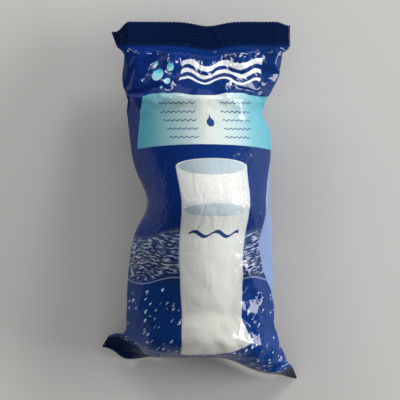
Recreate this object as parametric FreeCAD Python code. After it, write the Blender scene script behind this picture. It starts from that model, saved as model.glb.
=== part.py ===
"""A sealed film pack that holds one water filter cartridge for a pitcher.

The pack is a tube of printed film, closed by a crimped seal across each end and a fin seal down the back.
It lies on its back. The film is tight over the cartridge's rim, gathers into the top seal, and at the other
end drops over the cartridge's foot, where the end seal hangs down and its corners stand out as two tails.

Millimetres. X runs across the pack, Y towards the top seal, Z up. The origin is on the floor, midway.
"""
import FreeCAD, Part
import math
import os

Vector = FreeCAD.Vector

# The film tube and its seals
lay_flat = 100.0            # width of the empty tube, pressed flat
seal_height = 12.0          # crimped band across each end
seal_thickness = 0.5        # both webs, welded
seal_edge = 8.0             # how far in from its corners a seal is at its full thickness
crimp_pitch = 2.0           # from one rib of the crimp to the next
crimp_depth = 0.35          # each rib's height
crimp_margin = 4.8          # plain film outside the ribs, at the cut edge
fin_width = 11.0            # fin seal down the back, folded flat
fin_thickness = 0.6
fin_offset = -2.0           # the fin's middle, from the pack's middle
fin_root = 1.6              # how deep the fin's root runs into the pack
fin_root_end = 0.4          # the same where it meets the top seal
fin_fade = 20.0             # the root thins out over this length

# How high the face lies over the floor, on the cartridge inside
cap_height = 46.0
rim_height = 57.5
barrel_height = 51.0
foot_height = 43.5

# Places along the pack
top_edge = 90.3             # cut edge of the top seal
cap_place = 50.5            # the film first lies on the cap here
rim_place = -1.5
barrel_place = -19.5
foot_place = -56.5          # the film starts to come down here
end_place = -80.0           # the end seal hangs from here

# The film's section: a power of 1 hangs straight from the ridge to the side folds, and less is rounder
film_fullness = 0.82
rim_fullness = 0.58         # where the film is tight on the rim
back_fullness = 0.8         # the back's, as a share of the face's
side_fold_share = 0.48      # height of the tube's side folds, as a share of the film's

# The film's way up from the top seal to the cap, in side view
shoulder_power = 0.75       # less than 1 rises steeply from the seal
back_power = 1.8            # more than 1 keeps the back low for longer
back_reach = 8.0            # the back leaves the floor this far past the cap
opening_length = 30.0       # the flat tube opens to its full section over this length
seal_reach = 26.0           # the seal's own waves die out over this length

# The seals' heights over the floor
top_seal_level = 21.0
end_seal_level = 13.2
left_tail_level = 7.5
right_tail_level = 10.0

# Lines round the film over each stretch: close where it is slack, far apart where it is taut
column_count = 16           # and columns across it
shoulder_lines = 6          # top seal to cap
cap_lines = 7               # cap to rim
rim_lines = 6               # round the rim
barrel_lines = 8            # rim to foot
rim_reach = 15.0            # how far from the rim the film is drawn in

# Film drawn in at the sides
rim_pinch = 5.6             # the left side at the rim
rim_pinch_spread = 13.0
cap_pinch = 5.2             # the right side beside the cap
cap_pinch_offset = 3.0
cap_pinch_spread = 10.4
rim_lean = 1.4              # the tube leans to the right at the rim
rim_lean_spread = 26.0

# Gathers that fan out of the top seal
gather_left = 8.0           # width that they take up
gather_right = 4.5
gather_inset = 3.0          # where they take it, from the seal
gather_spread = 11.0
gather_height = 1.6
gather_crest = 9.0          # where they stand highest, from the seal
gather_length = 9.0
gather_count = 4.5          # half waves from the pack's middle to its side
gather_phase = 0.8

# The top seal's own waves, its sag and its left corner
seal_wave = 0.9
seal_wave_length = 9.0
seal_wave_phase = 0.6
seal_dip = 2.3              # sag of the seal's line, right of the middle
seal_dip_place = 4.0
seal_dip_spread = 9.0
seal_flare = 2.6            # the cut edge is this much wider than the gathers at the left
corner_droop = 7.0          # the left corner hangs down
corner_length = 7.0
right_corner_droop = 2.6    # and the right one a little

# The line that the end seal hangs from, and the turn of its corners
left_tail_rise = 10.5       # the left tail's root lies this far up the pack
left_tail_start = -22.0
left_tail_length = 22.0
right_tail_drop = 8.0       # the right tail reaches this much further down
right_tail_start = 8.0
right_tail_length = 30.0
right_tail_turn = 3.5       # and its corner is turned back up by this
hang_angle = 90.0           # degrees below the horizontal, at the middle
left_tail_angle = 18.0
right_tail_angle = 60.0
tail_corner = 6.0           # the left tail's corner is pulled up the pack
tail_length = 12.0          # both corners are turned over this width
tail_taper = 3.0            # the end seal is this much narrower each side at its root

# The film's way over the foot. Each line gives how far up the pack from the end seal, and how high,
# the face, the back and the side folds are.
foot_lines = [
    (15.0, 43.7, 16.0, 1.2, 14.5, 18.6),
    (8.0, 42.6, 10.5, 3.4, 9.2, 16.6),
    (4.0, 38.0, 6.0, 6.6, 5.6, 15.0),
    (1.5, 26.5, 2.6, 10.4, 2.4, 14.0),
]

# Soft folds and dips on the face: start, end, height and half width of each
face_folds = [
    (42.0, 73.5, 16.0, 57.5, 1.5, 4.0),
    (41.0, 63.0, 24.0, 49.5, 1.3, 4.0),
    (28.0, 70.0, 25.0, 54.0, 0.9, 3.6),
    (16.5, 51.0, 31.0, 37.0, 1.1, 4.0),
    (-25.0, 75.0, -34.0, 69.0, 1.2, 3.8),
    (-33.0, 70.0, -34.5, 46.0, 1.0, 3.8),
    (-21.0, 67.5, -7.0, 71.0, 1.1, 3.8),
    (-24.0, 62.0, -10.0, 54.0, 0.8, 4.0),
    (25.0, -37.0, 21.0, -52.5, 1.2, 3.8),
    (25.0, -37.0, 33.0, -51.0, 1.2, 3.8),
    (22.0, -62.0, 35.0, -52.0, 1.3, 3.8),
    (20.5, -58.0, 13.0, -72.0, 1.3, 3.8),
    (14.0, -73.0, 27.0, -70.0, 1.0, 3.8),
    (30.5, -75.5, 40.5, -63.0, 1.2, 3.8),
    (-41.0, -62.0, -27.0, -71.0, 1.0, 4.0),
    (41.0, 67.5, 18.0, 56.0, 2.0, 3.8),
    (16.0, 66.0, 26.0, 70.0, -1.1, 2.6),
    (28.5, 45.0, 30.5, 49.0, -1.4, 3.0),
    (-26.0, 60.0, -16.0, 58.5, 1.4, 3.2),
    (-21.5, 50.0, -20.5, 57.0, 1.0, 3.0),
    (0.0, 56.0, -12.0, 51.0, -0.9, 4.5),
    (26.0, -43.0, 27.0, -53.0, 1.7, 4.3),
    (24.0, -61.0, 16.0, -71.0, 1.6, 3.6),
    (31.0, -73.0, 39.0, -69.0, 1.6, 3.4),
    (-28.5, -54.0, -28.0, -61.0, -0.9, 4.5),
]

seal_inner = top_edge - seal_height     # the top seal's inner line


def ease(value):
    """Goes smoothly from 0 to 1 as value does."""
    t = max(0.0, min(1.0, value))
    return t * t * (3.0 - 2.0 * t)


def mix(first, second, share):
    return first + (second - first) * share


def bump(distance, spread):
    return math.exp(-((distance / spread) ** 2))


def columns(opened):
    """The net's columns from -1 at the left side fold to 1 at the right one, evenly along the film's section."""
    places = []
    for j in range(column_count + 1):
        share = j / column_count
        places.append(mix(2.0 * share - 1.0, -math.cos(math.pi * share), opened))
    return places


def film_height(y):
    """The film's height from back to face at y."""
    if y > cap_place:
        t = (seal_inner - y) / (seal_inner - cap_place)
        return mix(seal_thickness, cap_height, max(0.0, t) ** shoulder_power)
    if y > rim_place:
        return mix(cap_height, rim_height, ease((cap_place - y) / (cap_place - rim_place)))
    if y > barrel_place:
        return mix(rim_height, barrel_height, ease((rim_place - y) / (rim_place - barrel_place)))
    return mix(barrel_height, foot_height, (barrel_place - y) / (barrel_place - foot_place))


def under_height(y):
    """The back lies on its fin seal, and rises to the top seal."""
    start = cap_place - back_reach
    t = (y - start) / (seal_inner - start)
    return mix(fin_thickness, top_seal_level, max(0.0, t) ** back_power)


def top_height(y):
    t = (y - cap_place) / (seal_inner - cap_place)
    return film_height(y) + top_seal_level * max(0.0, t) ** back_power


def tube_half(height):
    """Half the tube's width where the film stands height apart, from the film's girth."""
    return (lay_flat - (math.pi / 2.0 - 1.0) * height) / 2.0


def sides(y):
    """How far the left and the right side fold are from the middle at y."""
    half = tube_half(film_height(y))
    lean = rim_lean * bump(y - rim_place, rim_lean_spread)
    left = half - rim_pinch * bump(y - rim_place, rim_pinch_spread) - lean
    right = half - cap_pinch * bump(y - cap_place + cap_pinch_offset, cap_pinch_spread) + lean
    gathered = bump(y - seal_inner + gather_inset, gather_spread)
    return left - gather_left * gathered, right - gather_right * gathered


def arch(c, fullness):
    """How much of its height the film has at column c: an arch with flanks that run straight to the side folds."""
    return max(0.0, math.cos(math.pi * c / 2.0)) ** fullness


def soft_folds(x, y, c):
    """The face's soft folds and dips, which fade towards its side folds."""
    rise = 0.0
    for x0, y0, x1, y1, height, spread in face_folds:
        dx, dy = x1 - x0, y1 - y0
        t = ((x - x0) * dx + (y - y0) * dy) / (dx * dx + dy * dy)
        near = max(0.0, min(1.0, t))
        away = math.hypot(x - x0 - near * dx, y - y0 - near * dy)
        rise += height * bump(away, spread)
    return rise * (1.0 - c ** 8)


def gathers(y, c):
    """The waves that fan out of the top seal."""
    wave = math.sin(math.pi * gather_count * c + gather_phase)
    return gather_height * wave * bump(seal_inner - gather_crest - y, gather_length) * (1.0 - c ** 6)


def top_seal_shape(x):
    """The top seal's lift and sag at x, and how far its left corner hangs."""
    wave = seal_wave * math.sin(x / seal_wave_length + seal_wave_phase)
    sag = seal_dip * bump(x - seal_dip_place, seal_dip_spread)
    droop = corner_droop * ease((2.0 * corner_length - lay_flat / 2.0 - x) / corner_length)
    droop += right_corner_droop * ease((x + gather_right + corner_length - lay_flat / 2.0) / corner_length)
    return wave - 0.6 * droop, sag, 0.7 * droop


def half_thickness(c):
    """Half a seal's thickness, which closes to the film's fold at both sides."""
    return seal_thickness / 2.0 * min(1.0, (1.0 - abs(c)) * lay_flat / (2.0 * seal_edge))


def top_seal_line(inward, rib):
    """A line across the top seal, this far inward from its cut edge. rib moves it off the seal's middle."""
    outer = 1.0 - inward / seal_height
    left, right = sides(seal_inner)
    left += seal_flare * outer
    upper, lower = [], []
    for c in columns(0.0):
        x = left * c if c < 0 else right * c
        lift, sag, droop = top_seal_shape(x)
        y = top_edge - inward - sag - droop * outer
        z = top_seal_level + lift + rib
        upper.append(Vector(x, y, z + half_thickness(c)))
        lower.append(Vector(x, y, z - half_thickness(c)))
    return upper, lower


def body_line(place):
    """A line round the film between the top seal and the foot."""
    left, right = sides(place)
    top, under = top_height(place), under_height(place)
    side = mix(under, top, side_fold_share)
    opened = ease((seal_inner - place) / opening_length)
    near = 1.0 - ease((seal_inner - place) / seal_reach)
    taut = mix(film_fullness, rim_fullness, bump(place - rim_place, rim_pinch_spread))
    full = mix(1.0, taut, opened)
    upper, lower = [], []
    for c in columns(opened):
        x = left * c if c < 0 else right * c
        lift, sag, droop = top_seal_shape(x)
        y = place - sag * near
        up = mix(side, top, arch(c, full)) + lift * near + gathers(place, c) + soft_folds(x, y, c)
        down = mix(side, under, arch(c, full * back_fullness)) + lift * near
        upper.append(Vector(x, y, up))
        lower.append(Vector(x, y, down))
    return upper, lower


def hang_line(x):
    """Where the end seal hangs from at x: its place along the pack, its height, and its slope."""
    left = ease((left_tail_start - x) / left_tail_length)
    right = ease((x - lay_flat / 2.0 + tail_length) / tail_length)
    y = end_place + left_tail_rise * left
    y -= right_tail_drop * ease((x - right_tail_start) / right_tail_length)
    y += right_tail_turn * right
    z = mix(mix(end_seal_level, left_tail_level, left), right_tail_level, right)
    angle = mix(mix(hang_angle, left_tail_angle, left), right_tail_angle, right)
    return y, z, math.radians(angle)


def foot_line(index):
    """A line round the film over the cartridge's foot. It closes from the open tube to the flat end seal."""
    face_y, face_z, back_y, back_z, side_y, side_z = foot_lines[index]
    turn = (index + 1.0) / (len(foot_lines) + 1.0)
    half = tube_half(foot_height * (1.0 - turn ** 2)) - tail_taper * turn ** 2
    upper, lower = [], []
    for c in columns(1.0 - turn):
        x = half * c
        base_y, base_z, angle = hang_line(x)
        y = mix(end_place, base_y, ease(turn))
        drop = (base_z - end_seal_level) * turn
        rise = arch(c, mix(film_fullness, 1.0, turn))
        fall = arch(c, mix(film_fullness * back_fullness, 1.0, turn))
        up_y = y + mix(side_y, face_y, rise)
        up = mix(side_z, face_z, rise) + drop + soft_folds(x, up_y, c) * (1.0 - turn ** 2)
        upper.append(Vector(x, up_y, up))
        lower.append(Vector(x, y + mix(side_y, back_y, fall), mix(side_z, back_z, fall) + drop))
    return upper, lower


def end_seal_line(inward, rib):
    """A line across the end seal, this far in from its cut edge."""
    down = seal_height - inward
    outer = down / seal_height
    half = lay_flat / 2.0 - tail_taper * (1.0 - outer)
    upper, lower = [], []
    for c in columns(0.0):
        x = half * c
        y, z, angle = hang_line(x)
        y += tail_corner * ease((tail_length - half - x) / tail_length) * outer
        for side, line in ((1.0, upper), (-1.0, lower)):
            off = side * half_thickness(c) + rib
            away = down * math.cos(angle) + off * math.sin(angle)
            line.append(Vector(x, y - away, z - down * math.sin(angle) + off * math.cos(angle)))
    return upper, lower


def knots(count, degree):
    """Even clamped knots for count poles, and how often each counts."""
    values = [float(k) for k in range(count - degree + 1)]
    times = [1] * len(values)
    times[0] = times[-1] = degree + 1
    return values, times


def strip(first, second):
    """The film between two lines, straight from one to the other."""
    across_knots, across_times = knots(len(first), 3)
    poles = [list(pair) for pair in zip(first, second)]
    surface = Part.BSplineSurface()
    surface.buildFromPolesMultsKnots(
        poles, across_times, [2, 2], across_knots, [0.0, 1.0], False, False, 3, 1
    )
    return surface.toShape()


def crimp_lines(make_line):
    """Lines along a seal from its cut edge: a plain margin, then the crests and roots of its ribs in turn."""
    count = int(round(2.0 * (seal_height - crimp_margin) / crimp_pitch))
    lines = [make_line(0.0, 0.0)]
    for k in range(count + 1):
        rib = crimp_depth / 2.0 * (1 if k % 2 else -1) if 0 < k < count else 0.0
        lines.append(make_line(mix(crimp_margin, seal_height, k / count), rib))
    return lines


def body_places():
    """The places along the pack of the lines between the top seal and the foot."""
    ends = [seal_inner, cap_place, rim_place + rim_reach, rim_place - rim_reach, foot_place]
    counts = [shoulder_lines, cap_lines, rim_lines, barrel_lines]
    places = []
    for start, end, count in zip(ends, ends[1:], counts):
        for k in range(1, count + 1):
            places.append(mix(start, end, k / count))
    return places


def film_lines():
    """Every line across the pack, from the cut edge of the top seal to that of the end seal."""
    lines = crimp_lines(top_seal_line)
    for place in body_places():
        lines.append(body_line(place))
    for index in range(len(foot_lines)):
        lines.append(foot_line(index))
    return lines + crimp_lines(end_seal_line)[::-1]


def build_tube():
    """The closed tube of film: face, back, and the cut edge of each seal."""
    lines = film_lines()
    faces = [strip(*lines[0]), strip(*lines[-1])]
    for (face, back), (next_face, next_back) in zip(lines, lines[1:]):
        faces.append(strip(face, next_face))
        faces.append(strip(back, next_back))
    shell = Part.makeCompound(faces)
    shell.sewShape(0.001)
    tube = Part.makeSolid(shell.Shells[0])
    if tube.Volume < 0:
        tube.reverse()
    return tube


def build_fin():
    """The fin seal, folded flat against the back from one end seal to the other."""
    left, right = fin_offset - fin_width / 2.0, fin_offset + fin_width / 2.0
    start = seal_inner + 1.0
    stations = [(start, top_seal_level - fin_thickness / 2.0)]
    for place in body_places():
        stations.append((place, under_height(place)))
    for face_y, face_z, back_y, back_z, side_y, side_z in foot_lines:
        stations.append((end_place + back_y, back_z))
    sections = []
    for y, z in stations:
        low = max(0.0, z - fin_thickness)
        high = z + mix(fin_root_end, fin_root, min(1.0, (start - y) / fin_fade))
        corners = [(left, low), (right, low), (right, high), (left, high), (left, low)]
        sections.append(Part.makePolygon([Vector(x, y, height) for x, height in corners]))
    return Part.makeLoft(sections, True, True)


def build_pack():
    """The tube with its fin, cut level where it presses on the floor."""
    pack = build_tube().fuse(build_fin())
    floor = Part.makeBox(3 * lay_flat, 4 * lay_flat, 5.0, Vector(-1.5 * lay_flat, -2 * lay_flat, -5.0))
    return pack.cut(floor)


def main():
    pack = build_pack()
    os.makedirs("parts", exist_ok=True)
    pack.exportStep("parts/film_pack.step")
    print("film_pack", "closed" if pack.isValid() else "open", round(pack.Volume / 1000.0, 1), "cm3")


main()
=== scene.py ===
import math

import bmesh
import bpy
import numpy as np
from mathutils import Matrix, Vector, noise


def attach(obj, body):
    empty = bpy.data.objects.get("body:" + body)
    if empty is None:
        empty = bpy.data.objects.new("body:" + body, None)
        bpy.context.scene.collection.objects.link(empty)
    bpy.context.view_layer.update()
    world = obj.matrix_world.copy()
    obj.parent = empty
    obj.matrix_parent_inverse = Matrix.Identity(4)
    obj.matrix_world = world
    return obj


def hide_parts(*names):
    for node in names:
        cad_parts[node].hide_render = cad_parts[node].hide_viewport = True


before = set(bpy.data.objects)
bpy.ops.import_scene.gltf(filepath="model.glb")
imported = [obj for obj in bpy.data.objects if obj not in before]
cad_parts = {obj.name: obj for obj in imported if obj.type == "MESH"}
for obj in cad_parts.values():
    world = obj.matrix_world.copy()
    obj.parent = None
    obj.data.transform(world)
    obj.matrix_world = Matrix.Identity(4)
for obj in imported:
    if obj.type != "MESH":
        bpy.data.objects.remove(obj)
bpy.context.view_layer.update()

# The film pack
# One tube of glossy printed film, drawn tight over the cartridge's rim. Each end is pressed flat and welded
# into a crimped seal. It is laid out here line by line from the top seal to the end seal, in millimetres,
# and each line runs from the left side fold over the face to the right one and back underneath.
mm = 0.001
lay_flat = 100.0            # width of the empty tube, pressed flat
seal_height = 12.0          # crimped band across each end
seal_thickness = 0.5        # both webs, welded
seal_edge = 8.0             # how far in from its corners a seal is at its full thickness
edge_taper = 0.4            # and how far in from its cut edge
fin_thickness = 0.6         # the back lies on its fin seal

# How high the face lies over the floor, on the cartridge inside
cap_height = 46.0
rim_height = 57.5
barrel_height = 51.0
foot_height = 43.5

# Places along the pack
top_edge = 90.3             # cut edge of the top seal
seal_inner = top_edge - seal_height
cap_place = 50.5            # the film first lies on the cap here
rim_place = -1.5
barrel_place = -19.5
foot_place = -56.5          # the film starts to come down here
end_place = -80.0           # the end seal hangs from here

# The film's section: a power of 1 hangs straight from the ridge to the side folds, and less is rounder
film_fullness = 0.82
rim_fullness = 0.58         # where the film is tight on the rim
back_fullness = 0.8         # the back's, as a share of the face's
side_fold_share = 0.48      # height of the tube's side folds, as a share of the film's

# The film's way up from the top seal to the cap, in side view
shoulder_power = 0.75       # less than 1 rises steeply from the seal
back_power = 1.8            # more than 1 keeps the back low for longer
back_reach = 8.0            # the back leaves the floor this far past the cap
opening_length = 30.0       # the flat tube opens to its full section over this length
seal_reach = 26.0           # the seal's own waves die out over this length

# The seals' heights over the floor
top_seal_level = 21.0
end_seal_level = 13.2
left_tail_level = 7.5
right_tail_level = 10.0


def ease(value):
    """Goes smoothly from 0 to 1 as value does."""
    t = np.clip(value, 0.0, 1.0)
    return t * t * (3.0 - 2.0 * t)


def mix(first, second, share):
    return first + (second - first) * share


def bump(distance, spread):
    return np.exp(-((distance / spread) ** 2))


def film_height(y):
    """The film's height from back to face at y."""
    if y > cap_place:
        t = (seal_inner - y) / (seal_inner - cap_place)
        return mix(seal_thickness, cap_height, max(0.0, t) ** shoulder_power)
    if y > rim_place:
        return mix(cap_height, rim_height, ease((cap_place - y) / (cap_place - rim_place)))
    if y > barrel_place:
        return mix(rim_height, barrel_height, ease((rim_place - y) / (rim_place - barrel_place)))
    return mix(barrel_height, foot_height, (barrel_place - y) / (barrel_place - foot_place))


def under_height(y):
    """The back lies on its fin seal, and rises to the top seal."""
    start = cap_place - back_reach
    return mix(fin_thickness, top_seal_level, max(0.0, (y - start) / (seal_inner - start)) ** back_power)


def top_height(y):
    past_cap = max(0.0, (y - cap_place) / (seal_inner - cap_place))
    return film_height(y) + top_seal_level * past_cap ** back_power


def tube_half(height):
    """Half the tube's width where the film stands height apart, from the film's girth."""
    return (lay_flat - (math.pi / 2.0 - 1.0) * height) / 2.0


# Film drawn in at the sides, and the width that the top seal's gathers take up
rim_pinch = 5.6             # the left side at the rim
rim_pinch_spread = 13.0
cap_pinch = 5.2             # the right side beside the cap
cap_pinch_offset = 3.0
cap_pinch_spread = 10.4
rim_lean = 1.4              # the tube leans to the right at the rim
rim_lean_spread = 26.0
gather_left = 8.0
gather_right = 4.5
gather_inset = 3.0          # where the gathers take it, from the seal
gather_spread = 11.0


def sides(y):
    """How far the left and the right side fold are from the middle at y."""
    half = tube_half(film_height(y))
    lean = rim_lean * bump(y - rim_place, rim_lean_spread)
    left = half - rim_pinch * bump(y - rim_place, rim_pinch_spread) - lean
    right = half - cap_pinch * bump(y - cap_place + cap_pinch_offset, cap_pinch_spread) + lean
    gathered = bump(y - seal_inner + gather_inset, gather_spread)
    return left - gather_left * gathered, right - gather_right * gathered


def arch(c, fullness):
    """How much of its height the film has at column c: an arch between the side folds at -1 and 1."""
    return np.maximum(0.0, np.cos(math.pi * c / 2.0)) ** fullness


# Soft folds on the face: start, end, height and half width of each
face_folds = [
    (42.0, 73.5, 16.0, 57.5, 1.5, 4.0),
    (41.0, 63.0, 24.0, 49.5, 1.3, 4.0),
    (28.0, 70.0, 25.0, 54.0, 0.9, 3.6),
    (16.5, 51.0, 31.0, 37.0, 1.1, 4.0),
    (-25.0, 75.0, -34.0, 69.0, 1.2, 3.8),
    (-33.0, 70.0, -34.5, 46.0, 1.0, 3.8),
    (-21.0, 67.5, -7.0, 71.0, 1.1, 3.8),
    (-24.0, 62.0, -10.0, 54.0, 0.8, 4.0),
    (25.0, -37.0, 21.0, -52.5, 1.2, 3.8),
    (25.0, -37.0, 33.0, -51.0, 1.2, 3.8),
    (22.0, -62.0, 35.0, -52.0, 1.3, 3.8),
    (20.5, -58.0, 13.0, -72.0, 1.3, 3.8),
    (14.0, -73.0, 27.0, -70.0, 1.0, 3.8),
    (30.5, -75.5, 40.5, -63.0, 1.2, 3.8),
    (-41.0, -62.0, -27.0, -71.0, 1.0, 4.0),
]


def away_from(x, y, x0, y0, x1, y1):
    """How far each place is from a straight line on the face, and its share of the way along it."""
    dx, dy = x1 - x0, y1 - y0
    share = np.clip(((x - x0) * dx + (y - y0) * dy) / (dx * dx + dy * dy), 0.0, 1.0)
    return np.hypot(x - x0 - share * dx, y - y0 - share * dy), share


def soft_folds(x, y, c):
    """The face's soft folds, which fade towards its side folds."""
    rise = 0.0
    for x0, y0, x1, y1, height, spread in face_folds:
        away, share = away_from(x, y, x0, y0, x1, y1)
        rise = rise + height * bump(away, spread)
    return rise * (1.0 - c ** 8)


gather_height = 1.6
gather_crest = 9.0          # where the gathers stand highest, from the seal
gather_length = 9.0
gather_count = 4.5          # half waves from the pack's middle to its side
gather_phase = 0.8


def gathers(y, c):
    """The waves that fan out of the top seal."""
    wave = np.sin(math.pi * gather_count * c + gather_phase)
    return gather_height * wave * bump(seal_inner - gather_crest - y, gather_length) * (1.0 - c ** 6)


# The top seal's own waves, its sag and its hanging corners
seal_wave = 0.9
seal_wave_length = 9.0
seal_wave_phase = 0.6
seal_dip = 2.3
seal_dip_place = 4.0
seal_dip_spread = 9.0
seal_flare = 2.6            # the cut edge is this much wider than the gathers at the left
corner_droop = 7.0
corner_length = 7.0
right_corner_droop = 2.6
right_corner_start = 38.5
droop_down = 0.6            # a hanging corner goes this share down, and the next one along the pack
droop_along = 0.7


def seal_shape(x):
    """The top seal's lift and sag at x, and how far its corners hang along the pack."""
    wave = seal_wave * np.sin(x / seal_wave_length + seal_wave_phase)
    sag = seal_dip * bump(x - seal_dip_place, seal_dip_spread)
    left = corner_droop * ease((2.0 * corner_length - lay_flat / 2.0 - x) / corner_length)
    right = right_corner_droop * ease((x - right_corner_start) / corner_length)
    droop = left + right
    return wave - droop_down * droop, sag, droop_along * droop


def half_thickness(c):
    """Half a seal's thickness, which closes to the film's fold at both sides."""
    return seal_thickness / 2.0 * np.minimum(1.0, (1.0 - np.abs(c)) * lay_flat / (2.0 * seal_edge))


# Columns are close at the side folds while the section is being traced, and evened out afterwards.
trace_points = 241
trace = -np.cos(np.linspace(0.0, math.pi, trace_points))


def top_seal_line(inward):
    """The face's and the back's line across the top seal, this far in from its cut edge."""
    outer = 1.0 - inward / seal_height
    left, right = sides(seal_inner)
    left += seal_flare * outer
    c = trace
    x = np.where(c < 0, left * c, right * c)
    lift, sag, droop = seal_shape(x)
    y = top_edge - inward - sag - droop * outer
    z = top_seal_level + lift
    thick = half_thickness(c) * min(1.0, inward / edge_taper)
    return np.stack([x, y, z + thick], 1), np.stack([x, y, z - thick], 1)


def body_line(place):
    """The face's and the back's line between the top seal and the foot."""
    left, right = sides(place)
    top, under = top_height(place), under_height(place)
    side = mix(under, top, side_fold_share)
    opened = ease((seal_inner - place) / opening_length)
    near = 1.0 - ease((seal_inner - place) / seal_reach)
    tight = mix(film_fullness, rim_fullness, bump(place - rim_place, rim_pinch_spread))
    full = mix(1.0, tight, opened)
    c = trace
    x = np.where(c < 0, left * c, right * c)
    lift, sag, droop = seal_shape(x)
    y = place - sag * near
    up = mix(side, top, arch(c, full)) + lift * near + gathers(place, c) + soft_folds(x, y, c)
    down = mix(side, under, arch(c, full * back_fullness)) + lift * near
    return np.stack([x, y, up], 1), np.stack([x, y, down], 1)


# The line that the end seal hangs from, and the turn of its corners
left_tail_rise = 10.5       # the left tail's root lies this far up the pack
left_tail_start = -22.0
left_tail_length = 22.0
right_tail_drop = 8.0       # the right tail reaches this much further down
right_tail_start = 8.0
right_tail_length = 30.0
right_tail_turn = 3.5       # and its corner is turned back up by this
right_turn_start = 38.0
hang_angle = 90.0           # degrees below the horizontal, at the middle
left_tail_angle = 18.0
right_tail_angle = 60.0
tail_corner = 6.0           # the left tail's corner is pulled up the pack
tail_length = 12.0          # both corners are turned over this width
tail_taper = 3.0            # the end seal is this much narrower each side at its root
edge_hang = 1.3             # its cut edge hangs this much lower right of the middle
edge_hang_start = 6.0
edge_hang_length = 20.0


def hang_line(x):
    """Where the end seal hangs from at x: its place along the pack, its height, and its slope."""
    left = ease((left_tail_start - x) / left_tail_length)
    right = ease((x - right_turn_start) / tail_length)
    dropped = right_tail_drop * ease((x - right_tail_start) / right_tail_length)
    y = end_place + left_tail_rise * left - dropped + right_tail_turn * right
    z = mix(mix(end_seal_level, left_tail_level, left), right_tail_level, right)
    angle = mix(mix(hang_angle, left_tail_angle, left), right_tail_angle, right)
    return y, z, np.radians(angle)


# The film's way over the foot. Each line gives how far up the pack from the end seal, and how high, the
# face, the back and the side folds are.
foot_flare = 2.6
foot_lines = [
    (15.0, 43.7, 16.0, 1.2, 14.5, 18.6),
    (8.0, 42.6, 10.5, 3.4, 9.2, 16.6),
    (4.0, 38.0, 6.0, 6.6, 5.6, 15.0),
    (1.5, 26.5, 2.6, 10.4, 2.4, 14.0),
]


def foot_line(index):
    """The face's and the back's line over the foot. It closes from the open tube to the flat end seal."""
    face_y, face_z, back_y, back_z, side_y, side_z = foot_lines[index]
    turn = (index + 1.0) / (len(foot_lines) + 1.0)
    half = tube_half(foot_height * (1.0 - turn ** 2)) - tail_taper * turn ** 2
    c = trace
    x = half * c + foot_flare * ease(2.0 * turn) * (1.0 - turn ** 3) * ease(c)
    base_y, base_z = hang_line(x)[:2]
    y = mix(end_place, base_y, ease(turn))
    drop = (base_z - end_seal_level) * turn
    rise = arch(c, mix(film_fullness, 1.0, turn))
    fall = arch(c, mix(film_fullness * back_fullness, 1.0, turn))
    up_y = y + mix(side_y, face_y, rise)
    up = mix(side_z, face_z, rise) + drop + soft_folds(x, up_y, c) * (1.0 - turn ** 2)
    upper = np.stack([x, up_y, up], 1)
    lower = np.stack([x, y + mix(side_y, back_y, fall), mix(side_z, back_z, fall) + drop], 1)
    return upper, lower


def end_seal_line(inward):
    """The face's and the back's line across the end seal, this far in from its cut edge."""
    down = seal_height - inward
    outer = down / seal_height
    half = lay_flat / 2.0 - tail_taper * (1.0 - outer)
    c = trace
    x = half * c
    y, z, angle = hang_line(x)
    pulled_up = tail_corner * ease((tail_length - half - x) / tail_length)
    hung = edge_hang * ease((x - edge_hang_start) / edge_hang_length)
    y = y + (pulled_up - hung) * outer
    thick = half_thickness(c) * min(1.0, inward / edge_taper)
    webs = []
    for side in (1.0, -1.0):
        off = side * thick
        away = down * np.cos(angle) + off * np.sin(angle)
        webs.append(np.stack([x, y - away, z - down * np.sin(angle) + off * np.cos(angle)], 1))
    return webs


face_columns = 104


def even_out(line):
    """The same line with its points evenly spaced."""
    steps = np.linalg.norm(np.diff(line, axis=0), axis=1)
    run = np.concatenate([[0.0], np.cumsum(steps)])
    places = np.linspace(0.0, run[-1], face_columns + 1)
    return np.stack([np.interp(places, run, line[:, k]) for k in range(3)], 1)


def around(pair):
    """One line right round the tube, from the left side fold and back to it."""
    face, back = (even_out(line) for line in pair)
    return np.concatenate([face, back[-2::-1]])


# The lines, from cut edge to cut edge. Each stretch between the seals has its start, end and count of lines.
seal_steps = 5
seal_places = [0.0, edge_taper] + [seal_height * k / seal_steps for k in range(1, seal_steps + 1)]
rim_reach = 15.0
stretches = [
    (seal_inner, cap_place, 6),
    (cap_place, rim_place + rim_reach, 7),
    (rim_place + rim_reach, rim_place - rim_reach, 6),
    (rim_place - rim_reach, foot_place, 8),
]
lines = [around(top_seal_line(place)) for place in seal_places]
for start, end, count in stretches:
    for k in range(1, count + 1):
        lines.append(around(body_line(mix(start, end, k / count))))
for index in range(len(foot_lines)):
    lines.append(around(foot_line(index)))
for place in reversed(seal_places):
    lines.append(around(end_seal_line(place)))
lines = np.array(lines)

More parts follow.
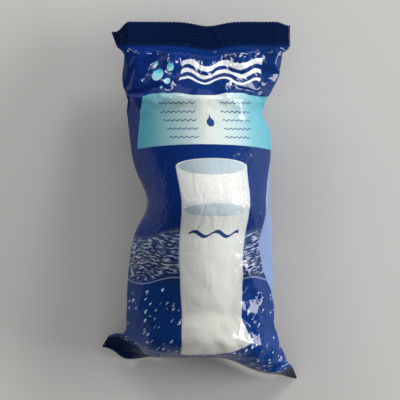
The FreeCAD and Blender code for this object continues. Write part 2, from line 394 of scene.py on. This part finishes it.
# Rows run smoothly through those lines, and are closer together in the seals.
row_step = 0.95
seal_row_step = 0.45
middle = face_columns // 2
run = np.concatenate([[0.0], np.cumsum(np.linalg.norm(np.diff(lines[:, middle], axis=0), axis=1))])
film_length = run[-1]
top_inner = run[len(seal_places) - 1]
end_inner = run[-len(seal_places)]
row_places = np.concatenate([
    np.linspace(0.0, top_inner, int(top_inner / seal_row_step), endpoint=False),
    np.linspace(top_inner, end_inner, int((end_inner - top_inner) / row_step), endpoint=False),
    np.linspace(end_inner, film_length, int((film_length - end_inner) / seal_row_step)),
])
slopes = np.gradient(lines, run, axis=0)
rows = []
for place in row_places:
    k = min(int(np.searchsorted(run, place, side="right")) - 1, len(run) - 2)
    gap = run[k + 1] - run[k]
    t = (place - run[k]) / gap
    rows.append(
        (2 * t ** 3 - 3 * t ** 2 + 1) * lines[k]
        + (t ** 3 - 2 * t ** 2 + t) * gap * slopes[k]
        + (3 * t ** 2 - 2 * t ** 3) * lines[k + 1]
        + (t ** 3 - t ** 2) * gap * slopes[k + 1]
    )
rows = np.array(rows)

# The seals' ribs run along them, and the knife leaves a fine zigzag at their cut edges.
rib_pitch = 1.8
rib_height = 0.15
rib_margin = 4.2            # plain film outside the ribs
rib_fade = 0.8
zigzag = 0.14
teeth = zigzag * (-1.0) ** np.arange(rows.shape[1])
for row, place in enumerate(row_places):
    from_edge = min(place, film_length - place)
    if from_edge < seal_height:
        ribbed = ease((from_edge - rib_margin) / rib_fade)
        lift = rib_height * ribbed * math.sin(2.0 * math.pi * from_edge / rib_pitch)
        along = rows[min(row + 1, len(rows) - 1)] - rows[max(row - 1, 0)]
        across_row = np.gradient(rows[row], axis=0)
        away = np.cross(across_row, along)
        away[face_columns + 1:] *= -1.0
        away[0] = away[face_columns] = away[-1] = 0.0
        away /= np.maximum(np.linalg.norm(away, axis=1), 1e-6)[:, None]
        rows[row] -= away * lift
rows[0, :, 1] += teeth
rows[-1, :, 1] += teeth


def finished(name, shape):
    """Makes an object from a bmesh and puts it in the scene."""
    mesh = bpy.data.meshes.new(name)
    shape.to_mesh(mesh)
    shape.free()
    made = bpy.data.objects.new(name, mesh)
    bpy.context.scene.collection.objects.link(made)
    return made


# The skin: a grid laid on those rows, and closed along the left side fold
weld_gap = 0.00002          # metres
columns = 2 * face_columns
film = bmesh.new()
bmesh.ops.create_grid(film, x_segments=columns, y_segments=len(rows) - 1, size=1.0, calc_uvs=True)
film.verts.ensure_lookup_table()
film_places = film.loops.layers.uv.verify()
for index, vert in enumerate(film.verts):
    row, column = divmod(index, columns + 1)
    vert.co = Vector(rows[row, column]) * mm
    for loop in vert.link_loops:
        loop[film_places].uv = (column / columns, row_places[row] / film_length)
bmesh.ops.remove_doubles(film, verts=film.verts, dist=weld_gap)
bmesh.ops.recalc_face_normals(film, faces=film.faces)
film_skin = finished("film_skin", film)
film_mesh = film_skin.data
film_mesh.shade_smooth()

# Where film has been creased sharply it stays so: start, end, height, and reach to the left and right of
# each crease. The last one is the pleat across the top seal.
creases = [
    (43.0, 75.0, 30.0, 70.5, 1.2, 2.4, 3.4),
    (30.0, 70.5, 20.0, 64.5, 1.0, 2.4, 3.4),
    (40.0, 66.5, 27.0, 61.5, 1.4, 2.0, 4.6),
    (27.0, 61.5, 16.0, 54.5, 1.2, 2.0, 4.6),
    (35.0, 64.5, 22.5, 59.0, 0.8, 1.8, 1.8),
    (39.0, 61.5, 30.0, 52.5, 1.0, 2.4, 2.4),
    (28.0, 69.0, 25.0, 54.0, 0.7, 2.2, 2.2),
    (21.5, 57.5, 19.0, 49.0, 0.8, 2.0, 2.0),
    (17.5, 50.5, 31.0, 37.0, 0.7, 3.0, 3.0),
    (24.0, 47.5, 20.0, 38.5, 0.6, 2.2, 2.2),
    (37.0, 73.0, 33.0, 60.0, 0.8, 2.0, 2.0),
    (-25.0, 76.0, -33.5, 71.5, 1.7, 2.0, 2.6),
    (-33.5, 71.5, -27.0, 67.5, 1.5, 2.0, 2.0),
    (-27.0, 67.5, -24.5, 72.0, 1.3, 2.0, 2.0),
    (-31.0, 75.0, -29.0, 65.0, 1.2, 3.2, 1.8),
    (-20.0, 68.5, -14.0, 72.5, 1.5, 2.2, 3.0),
    (-14.0, 72.5, -7.0, 71.0, 1.3, 2.0, 2.0),
    (-19.0, 73.5, -16.0, 67.0, 1.2, 2.0, 2.0),
    (-33.0, 70.5, -34.5, 44.5, 0.9, 3.0, 1.8),
    (-20.0, 64.0, -12.0, 55.0, 0.6, 2.6, 2.6),
    (26.5, -38.0, 21.5, -57.0, 0.9, 2.0, 2.0),
    (26.5, -38.0, 31.5, -56.0, 1.7, 2.0, 8.0),
    (22.5, -59.5, 35.0, -53.5, 1.7, 2.4, 5.0),
    (23.5, -59.5, 13.0, -73.0, 2.0, 7.0, 1.8),
    (13.0, -73.0, 25.5, -67.5, 1.2, 2.0, 2.8),
    (27.5, -73.0, 35.0, -67.5, 1.2, 2.2, 2.2),
    (35.0, -67.5, 30.5, -76.0, 1.1, 3.4, 1.8),
    (30.5, -76.0, 39.5, -68.5, 1.1, 2.2, 2.2),
    (39.5, -68.5, 40.0, -75.0, 1.0, 2.0, 2.0),
    (17.5, -77.0, 29.0, -76.0, 1.0, 2.2, 2.2),
    (36.0, -45.0, 33.5, -52.0, 0.8, 2.6, 1.6),
    (21.0, -33.5, 30.5, -34.5, 0.5, 2.0, 2.0),
    (-32.0, -12.0, -27.0, -19.5, 0.5, 2.2, 2.2),
    (-40.0, -68.0, -25.0, -74.5, 1.0, 2.6, 2.6),
    (-38.0, -58.0, -29.0, -66.0, 0.7, 2.6, 2.6),
    (-30.0, -38.0, -29.0, -45.0, 0.5, 1.6, 1.6),
    (5.0, 89.5, 12.5, 74.0, 0.9, 4.5, 1.2),
]
crease_tilt = 0.3           # creases fade where the film is steeper than this


def stand_up(x, y, crease):
    """How high a crease stands at each place: a flat facet falls away to each side of its line."""
    x0, y0, x1, y1, height, left_reach, right_reach = crease
    away, share = away_from(x, y, x0, y0, x1, y1)
    on_left = (x1 - x0) * (y - y0) - (y1 - y0) * (x - x0) > 0.0
    facet = np.clip(1.0 - away / np.where(on_left, left_reach, right_reach), 0.0, 1.0)
    return height * 2.0 * np.sqrt(share * (1.0 - share)) * facet


def read_points(mesh, what):
    values = np.zeros(len(mesh.vertices) * 3, np.float32)
    mesh.vertices.foreach_get(what, values)
    return values.reshape(-1, 3)


def move_film(places):
    film_mesh.vertices.foreach_set("co", (places * mm).astype(np.float32).ravel())
    film_mesh.update()


start_places = read_points(film_mesh, "co") / mm
normals = read_points(film_mesh, "normal")
rise = np.zeros(len(start_places))
for crease in creases:
    rise += stand_up(start_places[:, 0], start_places[:, 1], crease)
on_face = ease(normals[:, 2] / crease_tilt)
start_places += normals * (rise * on_face)[:, None]
x, y, z = start_places.T

# The film is held in the welded seals and on the rim, and partly along the upper side folds.
seal_grip = 3.5
seal_grip_fade = 2.0
end_grip = 2.0
end_grip_fade = 3.0
end_grip_top = 16.0
rim_grip = 0.6
rim_grip_spread = 20.0
fold_grip = 0.7
fold_grip_start = 60.0
fold_grip_fade = 12.0
in_top_seal = ease((y - seal_inner + seal_grip) / seal_grip_fade)
in_end_seal = ease((end_place + end_grip - y) / end_grip_fade) * (z < end_grip_top)
hold = np.maximum(in_top_seal, in_end_seal)
hold = np.maximum(hold, rim_grip * bump(y - rim_place, rim_grip_spread))
side_fold = 1.0 - np.abs(normals[:, 2])
hold = np.maximum(hold, fold_grip * side_fold * ease((y - fold_grip_start) / fold_grip_fade))

# It is slack at the shoulder and at both lower corners. Growing it a little there makes it buckle.
shoulder_slack = 0.4        # at the middle, and this much more at the sides
shoulder_start = 38.0
shoulder_length = 16.0
shoulder_middle = 8.0
shoulder_side = 18.0
low_right_slack = 0.3
low_right_top = -30.0
low_right_length = 16.0
low_right_start = 14.0
low_left_slack = 0.4
low_left_top = -44.0
low_left_length = 14.0
low_left_start = -16.0
corner_width = 12.0
slack_elsewhere = 0.03
towards_sides = shoulder_slack + shoulder_slack * ease((np.abs(x) - shoulder_middle) / shoulder_side)
shoulder = ease((y - shoulder_start) / shoulder_length) * towards_sides
low_right = ease((low_right_top - y) / low_right_length) * ease((x - low_right_start) / corner_width)
low_left = ease((low_left_top - y) / low_left_length) * ease((low_left_start - x) / corner_width)
loose = np.minimum(1.0, shoulder + low_right_slack * low_right + low_left_slack * low_left + slack_elsewhere)
held = film_skin.vertex_groups.new(name="held")
taut = film_skin.vertex_groups.new(name="taut")
for index in range(len(x)):
    held.add([index], float(hold[index]), "REPLACE")
    taut.add([index], float(1.0 - loose[index]), "REPLACE")

# A slight unevenness to start from, then a short run as cloth
nudge_grain = 7.0
nudge_height = 0.5
nudge = np.array([noise.noise(Vector(p) / nudge_grain) for p in start_places])
move_film(start_places + normals * (nudge * (1.0 - hold) * nudge_height)[:, None])
cloth = film_skin.modifiers.new("buckles", "CLOTH")
settings = cloth.settings
settings.quality = 5
settings.mass = 0.001
settings.tension_stiffness = 80.0
settings.compression_stiffness = 80.0
settings.shear_stiffness = 40.0
settings.bending_stiffness = 0.05
settings.tension_damping = 2.0
settings.compression_damping = 2.0
settings.shear_damping = 2.0
settings.bending_damping = 0.5
settings.use_pressure = True
settings.uniform_pressure_force = 0.5
settings.vertex_group_mass = "held"
settings.pin_stiffness = 5.0
settings.vertex_group_shrink = "taut"
settings.shrink_min = -0.06
settings.shrink_max = 0.0
settings.effector_weights.gravity = 0.0
cloth.collision_settings.use_collision = False
frames = 20
cloth.point_cache.frame_start = 1
cloth.point_cache.frame_end = frames
for number in range(1, frames + 1):
    bpy.context.scene.frame_set(number)
graph = bpy.context.evaluated_depsgraph_get()
moved = read_points(film_skin.evaluated_get(graph).to_mesh(), "co") / mm
film_skin.modifiers.remove(cloth)
bpy.context.scene.frame_set(1)

# The film lies on what is inside, so it keeps the start's broad form. Only the buckles' own relief stays.
smooth_rounds = 160
taut_relief = 0.25          # share of the relief that stays where the film is taut
full_relief_slack = 0.4     # and all of it stays where it is this slack
floor_gap = 0.3
shift = moved - start_places
links = np.zeros(len(film_mesh.edges) * 2, np.int32)
film_mesh.edges.foreach_get("vertices", links)
first, second = links.reshape(-1, 2).T
count = len(start_places)
links_each = np.bincount(first, minlength=count) + np.bincount(second, minlength=count)
broad = shift.copy()
for _ in range(smooth_rounds):
    nearby = np.stack([
        np.bincount(first, broad[second, k], count) + np.bincount(second, broad[first, k], count)
        for k in range(3)
    ], 1)
    broad = 0.5 * broad + 0.5 * nearby / links_each[:, None]
kept_share = taut_relief + (1.0 - taut_relief) * ease(loose / full_relief_slack)
settled_places = start_places + (shift - broad) * kept_share[:, None]
settled_places[:, 2] = np.maximum(settled_places[:, 2], floor_gap)
move_film(settled_places)

# The print. Places on the film are in millimetres: across from the face's middle, and down from the top edge.
printed_film = bpy.data.materials.new("printed_film")
printed_film.use_nodes = True
tree = printed_film.node_tree
shader = tree.nodes["Principled BSDF"]
shader.inputs["Roughness"].default_value = 0.11
shader.inputs["Specular IOR Level"].default_value = 0.3


def join(target, value):
    """Sets a socket to a number or a colour, or links it to another socket."""
    if isinstance(value, bpy.types.NodeSocket):
        target.id_data.links.new(value, target)
    elif isinstance(value, tuple):
        target.default_value = (*value, 1.0)
    else:
        target.default_value = value


def calc(operation, *values, clamp=False):
    node = tree.nodes.new("ShaderNodeMath")
    node.operation = operation
    node.use_clamp = clamp
    for socket, value in zip(node.inputs, values):
        join(socket, value)
    return node.outputs["Value"]


def between(value, low, high, soft=0.25):
    """1 where value lies between low and high, with an edge this soft."""
    after = calc("DIVIDE", calc("SUBTRACT", value, low), soft, clamp=True)
    before = calc("DIVIDE", calc("SUBTRACT", high, value), soft, clamp=True)
    return calc("MULTIPLY", after, before)


def paint(under, over, mask):
    """Prints one colour over another where mask is 1."""
    node = tree.nodes.new("ShaderNodeMix")
    node.data_type = "RGBA"
    join(node.inputs["Factor"], mask)
    join(node.inputs["A"], under)
    join(node.inputs["B"], over)
    return node.outputs["Result"]


def shades(value, stops):
    """A run of colours from the first stop's place to the last one's."""
    low, high = stops[0][0], stops[-1][0]
    spread = tree.nodes.new("ShaderNodeMapRange")
    join(spread.inputs["Value"], value)
    join(spread.inputs["From Min"], low)
    join(spread.inputs["From Max"], high)
    ramp = tree.nodes.new("ShaderNodeValToRGB")
    join(ramp.inputs["Fac"], spread.outputs["Result"])
    elements = ramp.color_ramp.elements
    while len(elements) < len(stops):
        elements.new(0.5)
    for element, (place, stop_colour) in zip(elements, stops):
        element.position = (place - low) / (high - low)
        element.color = (*stop_colour, 1.0)
    return ramp.outputs["Color"]


def point(x, y):
    node = tree.nodes.new("ShaderNodeCombineXYZ")
    join(node.inputs["X"], x)
    join(node.inputs["Y"], y)
    return node.outputs["Vector"]


def mottle(x, y, detail, scale=1.0, distortion=0.0):
    """Soft random unevenness from 0 to 1, with patches about as large as x and y make them."""
    node = tree.nodes.new("ShaderNodeTexNoise")
    node.noise_dimensions = "2D"
    join(node.inputs["Scale"], scale)
    join(node.inputs["Detail"], detail)
    join(node.inputs["Distortion"], distortion)
    join(node.inputs["Vector"], point(x, y))
    return node.outputs["Fac"]


def wavy_line(place, height, length, phase):
    """How far down a line lies that waves about a place, at each place across."""
    turn = calc("MULTIPLY_ADD", across, 2.0 * math.pi / length, phase)
    return calc("ADD", calc("MULTIPLY", calc("SINE", turn), height), place)


def slanted(start, slope, place):
    """A straight line across or down the film: place where down is start, and slope further on."""
    return calc("MULTIPLY_ADD", calc("SUBTRACT", down, start), slope, place)


film_uv = tree.nodes.new("ShaderNodeUVMap")
film_uv.uv_map = film_mesh.uv_layers[0].name
split = tree.nodes.new("ShaderNodeSeparateXYZ")
join(split.inputs["Vector"], film_uv.outputs["UV"])
across = calc("MULTIPLY_ADD", split.outputs["X"], 2.0 * lay_flat, -lay_flat / 2.0)
down = calc("MULTIPLY", split.outputs["Y"], film_length)

# The ground: royal blue at the right side fold, darkened to navy at the left one as painted shade away from
# the light, with deeper water at the foot
shaded_navy = (0.003, 0.018, 0.13)
middle_blue = (0.003, 0.024, 0.165)
royal = (0.004, 0.027, 0.14)
deep_blues = [(110.0, (0.004, 0.026, 0.14)), (150.0, (0.003, 0.030, 0.16)), (200.0, (0.003, 0.036, 0.20))]
swell = (2.2, 46.0, 0.4)    # height, length and phase
deep_top = wavy_line(138.0, *swell)
past_foot = 300.0
colour = shades(across, [(-60.0, shaded_navy), (-30.0, middle_blue), (30.0, royal), (60.0, royal)])
colour = paint(colour, shades(down, deep_blues), between(down, deep_top, past_foot, 2.0))

# Waves behind the tumbler: place down, height, length, phase and colour of each
wave_depth = 7.0
waves = [
    (118.0, 2.4, 52.0, 0.2, (0.03, 0.055, 0.15)),
    (124.0, 2.0, 38.0, 1.7, (0.022, 0.045, 0.14)),
    (130.5, 2.2, 44.0, 3.1, (0.035, 0.05, 0.11)),
    (136.0, 1.7, 33.0, 4.4, (0.010, 0.028, 0.11)),
]
for place, height, length, phase, wave_colour in waves:
    crest = wavy_line(place, height, length, phase)
    colour = paint(colour, wave_colour, between(down, crest, calc("ADD", crest, wave_depth), 0.5))

# Thin pale streaks of broken light on the water, and the pale line at its foot
streak_colour = (0.42, 0.48, 0.60)
streak_strength = 0.85
streak_length = 4.4
streak_width = 0.95
streak_level = 0.52         # more of the water is streaked when it is lower
streak_edge = 0.11
line_colour = (0.20, 0.27, 0.42)
line_thick = 0.9
streaks = mottle(
    calc("DIVIDE", across, streak_length),
    calc("DIVIDE", calc("ADD", down, wavy_line(0.0, 1.5, 40.0, 1.0)), streak_width),
    detail=2.0,
)
broken = calc("DIVIDE", calc("SUBTRACT", streaks, streak_level), streak_edge, clamp=True)
on_water = between(down, wavy_line(119.0, 2.4, 52.0, 0.2), wavy_line(142.0, *swell), 2.0)
streaked = calc("MULTIPLY", calc("MULTIPLY", broken, on_water), streak_strength)
colour = paint(colour, streak_colour, streaked)
water_foot = wavy_line(142.5, 1.8, 46.0, 0.4)
colour = paint(colour, line_colour, between(down, water_foot, calc("ADD", water_foot, line_thick), 0.3))

# Bubbles in the deep water: one spot in each cell, pulled out of round, and none where its chance is small
bubble_colour = (0.62, 0.74, 0.88)
cell_width = 3.6
cell_height = 4.6
bubble_pull = 3.4
bubble_chance = 0.35
bubble_size = 0.34
bubble_edge = 0.05
bubble_top = 146.0
bubble_foot = 214.0
pull = calc("MULTIPLY_ADD", mottle(across, down, detail=1.0, scale=0.9), bubble_pull, -bubble_pull / 2.0)
cells = tree.nodes.new("ShaderNodeTexVoronoi")
cells.voronoi_dimensions = "2D"
join(cells.inputs["Scale"], 1.0)
join(cells.inputs["Randomness"], 0.9)
join(cells.inputs["Vector"], point(
    calc("DIVIDE", calc("ADD", across, pull), cell_width),
    calc("DIVIDE", calc("SUBTRACT", down, pull), cell_height),
))
chance = tree.nodes.new("ShaderNodeSeparateColor")
join(chance.inputs["Color"], cells.outputs["Color"])
over_chance = calc("SUBTRACT", chance.outputs["Red"], bubble_chance, clamp=True)
inside = calc("SUBTRACT", calc("MULTIPLY", over_chance, bubble_size), cells.outputs["Distance"])
bubbles = calc("DIVIDE", inside, bubble_edge, clamp=True)
colour = paint(colour, bubble_colour, calc("MULTIPLY", bubbles, between(down, bubble_top, bubble_foot, 1.0)))

# A plain white tumbler, shaded across and warmer towards its foot. Its mouth and foot are round.
glass_middle = 6.5
glass_top = 84.0
glass_foot = 184.5
mouth_half = 21.5
glass_taper = 0.058         # it is this much narrower each side for each millimetre down
mouth_round = 4.5
foot_round = 3.5
glass_shades = [
    (-1.0, (0.52, 0.57, 0.60)),
    (-0.9, (0.78, 0.80, 0.78)),
    (-0.45, (0.76, 0.78, 0.75)),
    (0.1, (0.73, 0.75, 0.71)),
    (0.5, (0.70, 0.72, 0.68)),
    (0.9, (0.58, 0.61, 0.60)),
    (1.0, (0.46, 0.53, 0.58)),
]
warm_white = (0.56, 0.53, 0.47)
warmth = calc("MULTIPLY", between(down, 125.0, 230.0, 40.0), 0.55)
glass_half = slanted(glass_top, -glass_taper, mouth_half)
aside = calc("SUBTRACT", across, glass_middle)
share = calc("DIVIDE", calc("ABSOLUTE", aside), glass_half)
glass = paint(shades(calc("DIVIDE", aside, glass_half), glass_shades), warm_white, warmth)
round_end = calc("SQRT", calc("SUBTRACT", 1.0, calc("MULTIPLY", share, share), clamp=True))
mouth = calc("MULTIPLY_ADD", round_end, -mouth_round, glass_top)
foot = calc("MULTIPLY_ADD", round_end, foot_round, glass_foot)
in_glass = calc("MULTIPLY", between(share, -1.0, 1.0, 0.02), between(down, mouth, foot, 0.3))

# Where the film is pulled askew at the lower right, the tumbler's side is pulled out with it.
pulled_out = slanted(157.0, 0.62, 20.0)
turned_in = slanted(172.0, -1.5, 29.5)
skewed = calc("MULTIPLY", between(across, glass_middle, pulled_out, 0.3), between(down, 150.0, 180.0, 0.5))
in_glass = calc("MULTIPLY", calc("MAXIMUM", in_glass, skewed), between(across, -60.0, turned_in, 0.4))
colour = paint(colour, glass, in_glass)

# The tumbler's mouth and the water in it, as ovals: place down, half height, width and colour of each
for place, height, width, oval_colour in (
    (glass_top, mouth_round, 0.93, (0.42, 0.50, 0.55)),
    (106.0, 3.6, 0.95, (0.50, 0.60, 0.66)),
):
    below = calc("DIVIDE", calc("SUBTRACT", down, place), height)
    far = calc("SQRT", calc("ADD", calc("MULTIPLY", below, below), calc("MULTIPLY", share, share)))
    colour = paint(colour, oval_colour, between(far, -1.0, width, 0.03))

# A bold wave on the tumbler, thicker towards one end of each wave
bold_ink = (0.02, 0.055, 0.18)
bold = wavy_line(119.0, 1.3, 12.5, 0.9)
bold_half = wavy_line(1.0, 0.35, 12.5, 2.6)
on_bold = between(down, calc("SUBTRACT", bold, bold_half), calc("ADD", bold, bold_half), 0.3)
colour = paint(colour, bold_ink, calc("MULTIPLY", on_bold, between(across, -8.0, 21.0, 0.4)))

# A painted pale reflection runs down the right side of the face, where the film turns steeply away to the
# side fold. It is widest beside the tumbler, and tapers off at both ends.
sheen_colour = (0.19, 0.27, 0.48)
sheen_inner = 41.5
sheen_outer = 51.0
sheen_bulge = 4.8
sheen_start = calc("SUBTRACT", sheen_inner, calc("MULTIPLY", between(down, 108.0, 140.0, 14.0), sheen_bulge))
sheen_start = calc("MAXIMUM", calc("MAXIMUM", sheen_start, slanted(78.0, -0.4, 50.5)), slanted(130.0, 0.5, 36.7))
colour = paint(colour, sheen_colour, between(across, sheen_start, sheen_outer, 0.4))

# The pale band, palest at its middle, with a slanted left end
band_shades = [
    (-45.0, (0.05, 0.30, 0.42)),
    (-30.0, (0.12, 0.42, 0.52)),
    (-12.0, (0.40, 0.60, 0.63)),
    (5.0, (0.66, 0.70, 0.66)),
    (22.0, (0.46, 0.60, 0.62)),
    (34.0, (0.16, 0.42, 0.49)),
    (55.0, (0.05, 0.32, 0.44)),
]
band_middle = 2.0
band_half = 45.0
band_sag = 2.2              # its foot lies this much lower at both ends
past_right = 62.0
band_top = wavy_line(45.4, 1.1, 40.0, 1.26)
from_middle = calc("DIVIDE", calc("SUBTRACT", across, band_middle), band_half)
band_foot = calc("MULTIPLY_ADD", calc("MULTIPLY", from_middle, from_middle), band_sag, 72.5)
band_left = slanted(46.0, -0.30, -34.5)
along_band = between(across, band_left, past_right, 0.3)
in_band = calc("MULTIPLY", between(down, band_top, band_foot, 0.3), along_band)
colour = paint(colour, shades(across, band_shades), in_band)

# Plain wavy rules on the band, in two columns
ink = (0.02, 0.06, 0.20)
rule_count = 5
rule_half = 0.35
first_rule = 51.0
rule_pitch = 4.4
rules_left = -24.0
rules_left_step = 1.5       # each rule is this much shorter than the one above it
rules_right = 36.0
rules_right_step = 1.2
for row in range(rule_count):
    rule = wavy_line(first_rule + rule_pitch * row, 0.35, 3.2, 0.0)
    on_rule = between(down, calc("SUBTRACT", rule, rule_half), calc("ADD", rule, rule_half), 0.2)
    left_rule = between(across, rules_left + rules_left_step * row, -0.5, 0.3)
    right_rule = between(across, 14.0, rules_right - rules_right_step * row, 0.3)
    colour = paint(colour, ink, calc("MULTIPLY", on_rule, calc("ADD", left_rule, right_rule)))


def disc(middle_across, middle_down, radius):
    """1 inside a round spot."""
    aside = calc("SUBTRACT", across, middle_across)
    below = calc("SUBTRACT", down, middle_down)
    far = calc("SQRT", calc("ADD", calc("MULTIPLY", aside, aside), calc("MULTIPLY", below, below)))
    return between(far, -radius, radius)


# A drop between the rules: a round foot under a point that widens down to it
drop_across = 6.8
drop_down = 61.0
drop_radius = 2.3
drop_point = 5.6
point_share = calc("DIVIDE", calc("SUBTRACT", down, drop_down - drop_point), drop_point, clamp=True)
point_half = calc("MULTIPLY", calc("MULTIPLY", point_share, point_share), drop_radius)
in_point = between(calc("ABSOLUTE", calc("SUBTRACT", across, drop_across)), -1.0, point_half, 0.2)
in_point = calc("MULTIPLY", in_point, between(down, drop_down - drop_point, drop_down, 0.2))
colour = paint(colour, ink, calc("MAXIMUM", in_point, disc(drop_across, drop_down, drop_radius)))

# Wavy white strokes across the shoulder: place down and half thickness of each
stroke_white = (0.70, 0.72, 0.75)
for place, thick in ((27.0, 1.7), (32.0, 1.3), (36.5, 0.9)):
    stroke = wavy_line(place, 1.6, 21.0, 0.6)
    on_stroke = between(down, calc("SUBTRACT", stroke, thick), calc("ADD", stroke, thick), 0.3)
    colour = paint(colour, stroke_white, calc("MULTIPLY", on_stroke, between(across, -12.0, 38.0, 0.5)))

# Teal spots beside the strokes: place across, place down and radius of each
teal = (0.04, 0.50, 0.68)
pale_teal = (0.45, 0.74, 0.80)
spots = [(-25.5, 33.0, 3.6), (-18.6, 28.6, 2.3), (-18.8, 36.6, 1.9), (-28.6, 26.6, 1.5), (-22.6, 40.2, 1.2)]
for spot_across, spot_down, radius in spots:
    spot_shades = shades(down, [(spot_down - radius, teal), (spot_down + radius, pale_teal)])
    colour = paint(colour, spot_shades, disc(spot_across, spot_down, radius))

# The seals are darker.
dark_seal_colour = (0.002, 0.010, 0.052)
colour = paint(colour, dark_seal_colour, between(down, -3.0, seal_height + 2.0, 2.5))
end_dark_start = film_length - seal_height - 1.0
colour = paint(colour, dark_seal_colour, between(down, end_dark_start, film_length + 3.0, 1.5))
join(shader.inputs["Base Color"], colour)

# Film is never quite flat: a fine unevenness breaks up its reflections, more so where it is tight on the rim.
uneven_width = 8.0
uneven_height = 11.0
uneven_slant = 0.35
rim_wrinkles = 2.4
uneven = mottle(
    calc("DIVIDE", calc("ADD", across, calc("MULTIPLY", down, uneven_slant)), uneven_width),
    calc("DIVIDE", calc("SUBTRACT", down, calc("MULTIPLY", across, uneven_slant)), uneven_height),
    detail=3.0,
    distortion=0.6,
)
wrinkled = calc("MULTIPLY_ADD", between(down, 76.0, 126.0, 16.0), rim_wrinkles, 1.0)
film_bump = tree.nodes.new("ShaderNodeBump")
join(film_bump.inputs["Strength"], 0.5)
join(film_bump.inputs["Distance"], 0.5 * mm)
join(film_bump.inputs["Height"], calc("MULTIPLY", calc("SUBTRACT", uneven, 0.5), wrinkled))
join(shader.inputs["Normal"], film_bump.outputs["Normal"])
film_mesh.materials.append(printed_film)
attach(film_skin, "root")
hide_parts("film_pack")

# The fin seal
# The film's two long edges, welded face to face into a ribbed fin and folded flat against the back. The pack
# lies on it.
fin_width = 11.0
fin_middle = -2.0
fin_rib_pitch = 1.5
fin_rib_height = 0.08
fin_rib_columns = 4         # points across each rib
fin_root = 0.25             # how far the fin runs into the film
fin_end_rise = 0.6          # it reaches this far onto the top seal
fin_end_inset = 0.3         # and lies this far under its middle
fin_rows = 24
fin_colour = (0.006, 0.024, 0.12)
fin_roughness = 0.12
fin_places = [(seal_inner + fin_end_rise, top_seal_level - fin_end_inset)]
for place in np.linspace(seal_inner, cap_place - back_reach, fin_rows):
    fin_places.append((place, float(under_height(place))))
fin_places.append((foot_place, fin_thickness))
for face_y, face_z, back_y, back_z, side_y, side_z in foot_lines:
    fin_places.append((end_place + back_y, back_z))
fin = bmesh.new()
fin_columns = int(fin_width / fin_rib_pitch) * fin_rib_columns
bmesh.ops.create_grid(fin, x_segments=fin_columns, y_segments=len(fin_places) - 1, size=1.0)
fin.verts.ensure_lookup_table()
for index, vert in enumerate(fin.verts):
    row, column = divmod(index, fin_columns + 1)
    y, z = fin_places[row]
    rib = fin_rib_height * math.sin(2.0 * math.pi * column / fin_rib_columns)
    x = fin_middle + fin_width * (column / fin_columns - 0.5)
    vert.co = Vector((x, y, max(fin_rib_height, z - fin_thickness + fin_rib_height) + rib)) * mm
bmesh.ops.solidify(fin, geom=fin.faces[:], thickness=-(fin_thickness + fin_root) * mm)
bmesh.ops.recalc_face_normals(fin, faces=fin.faces)
fin_seal = finished("fin_seal", fin)


def plain_material(name, plain_colour, roughness):
    made = bpy.data.materials.new(name)
    made.use_nodes = True
    shader = made.node_tree.nodes["Principled BSDF"]
    join(shader.inputs["Base Color"], plain_colour)
    join(shader.inputs["Roughness"], roughness)
    return made


fin_seal.data.materials.append(plain_material("navy_film", fin_colour, fin_roughness))
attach(fin_seal, "root")

# The table top and the light
# A pale matt table with a window to the right of the pack and two weaker lamps beyond it. They stand low, so
# they shine only in the film's steep crumples. The sky is dimmer in the film's gloss than it is as light.
table_half = 1.5
table_colour = (0.62, 0.61, 0.59)
table_roughness = 0.7
floor = bmesh.new()
bmesh.ops.create_grid(floor, x_segments=1, y_segments=1, size=table_half)
table_top = finished("table_top", floor)
table_top.data.materials.append(plain_material("pale_table", table_colour, table_roughness))
lamp_aim = Vector((0.0, 0.0, 0.03))


def softbox(name, place, width, height, power):
    data = bpy.data.lights.new(name, "AREA")
    data.shape = "RECTANGLE"
    data.size = width
    data.size_y = height
    data.energy = power
    lamp = bpy.data.objects.new(name, data)
    lamp.location = place
    lamp.rotation_euler = (lamp_aim - Vector(place)).to_track_quat("-Z", "Y").to_euler()
    bpy.context.scene.collection.objects.link(lamp)


softbox("window", (2.04, 0.10, 0.65), 1.05, 0.68, 36.0)
softbox("low_lamp", (1.16, 1.70, 0.77), 0.60, 0.40, 23.0)
softbox("far_wall", (-0.90, 1.90, 0.69), 0.70, 0.42, 17.0)

sky_light = 0.36
sky_in_gloss = 0.06
world = bpy.data.worlds.new("studio")
world.use_nodes = True
sky = world.node_tree.nodes["Background"]
rays = world.node_tree.nodes.new("ShaderNodeLightPath")
dimmer = world.node_tree.nodes.new("ShaderNodeMapRange")
join(dimmer.inputs["To Min"], sky_light)
join(dimmer.inputs["To Max"], sky_in_gloss)
join(dimmer.inputs["Value"], rays.outputs["Is Glossy Ray"])
join(sky.inputs["Color"], (1.0, 1.0, 1.0))
join(sky.inputs["Strength"], dimmer.outputs["Result"])
bpy.context.scene.world = world

# The camera
# It looks straight down, as in the photograph, from far enough for the pack's high parts to keep their size.
# The frame's width holds a little above the table, at about the level of the seals.
view_height = 1.2
frame_level = 0.012
frame_width = 0.204
sensor = 36.0
camera_data = bpy.data.cameras.new("camera")
camera_data.sensor_width = sensor
camera_data.lens = sensor * (view_height - frame_level) / frame_width
camera = bpy.data.objects.new("camera", camera_data)
camera.location = (0.0, 0.0, view_height)
bpy.context.scene.collection.objects.link(camera)
bpy.context.scene.camera = camera
bpy.context.scene.view_settings.view_transform = "Standard"
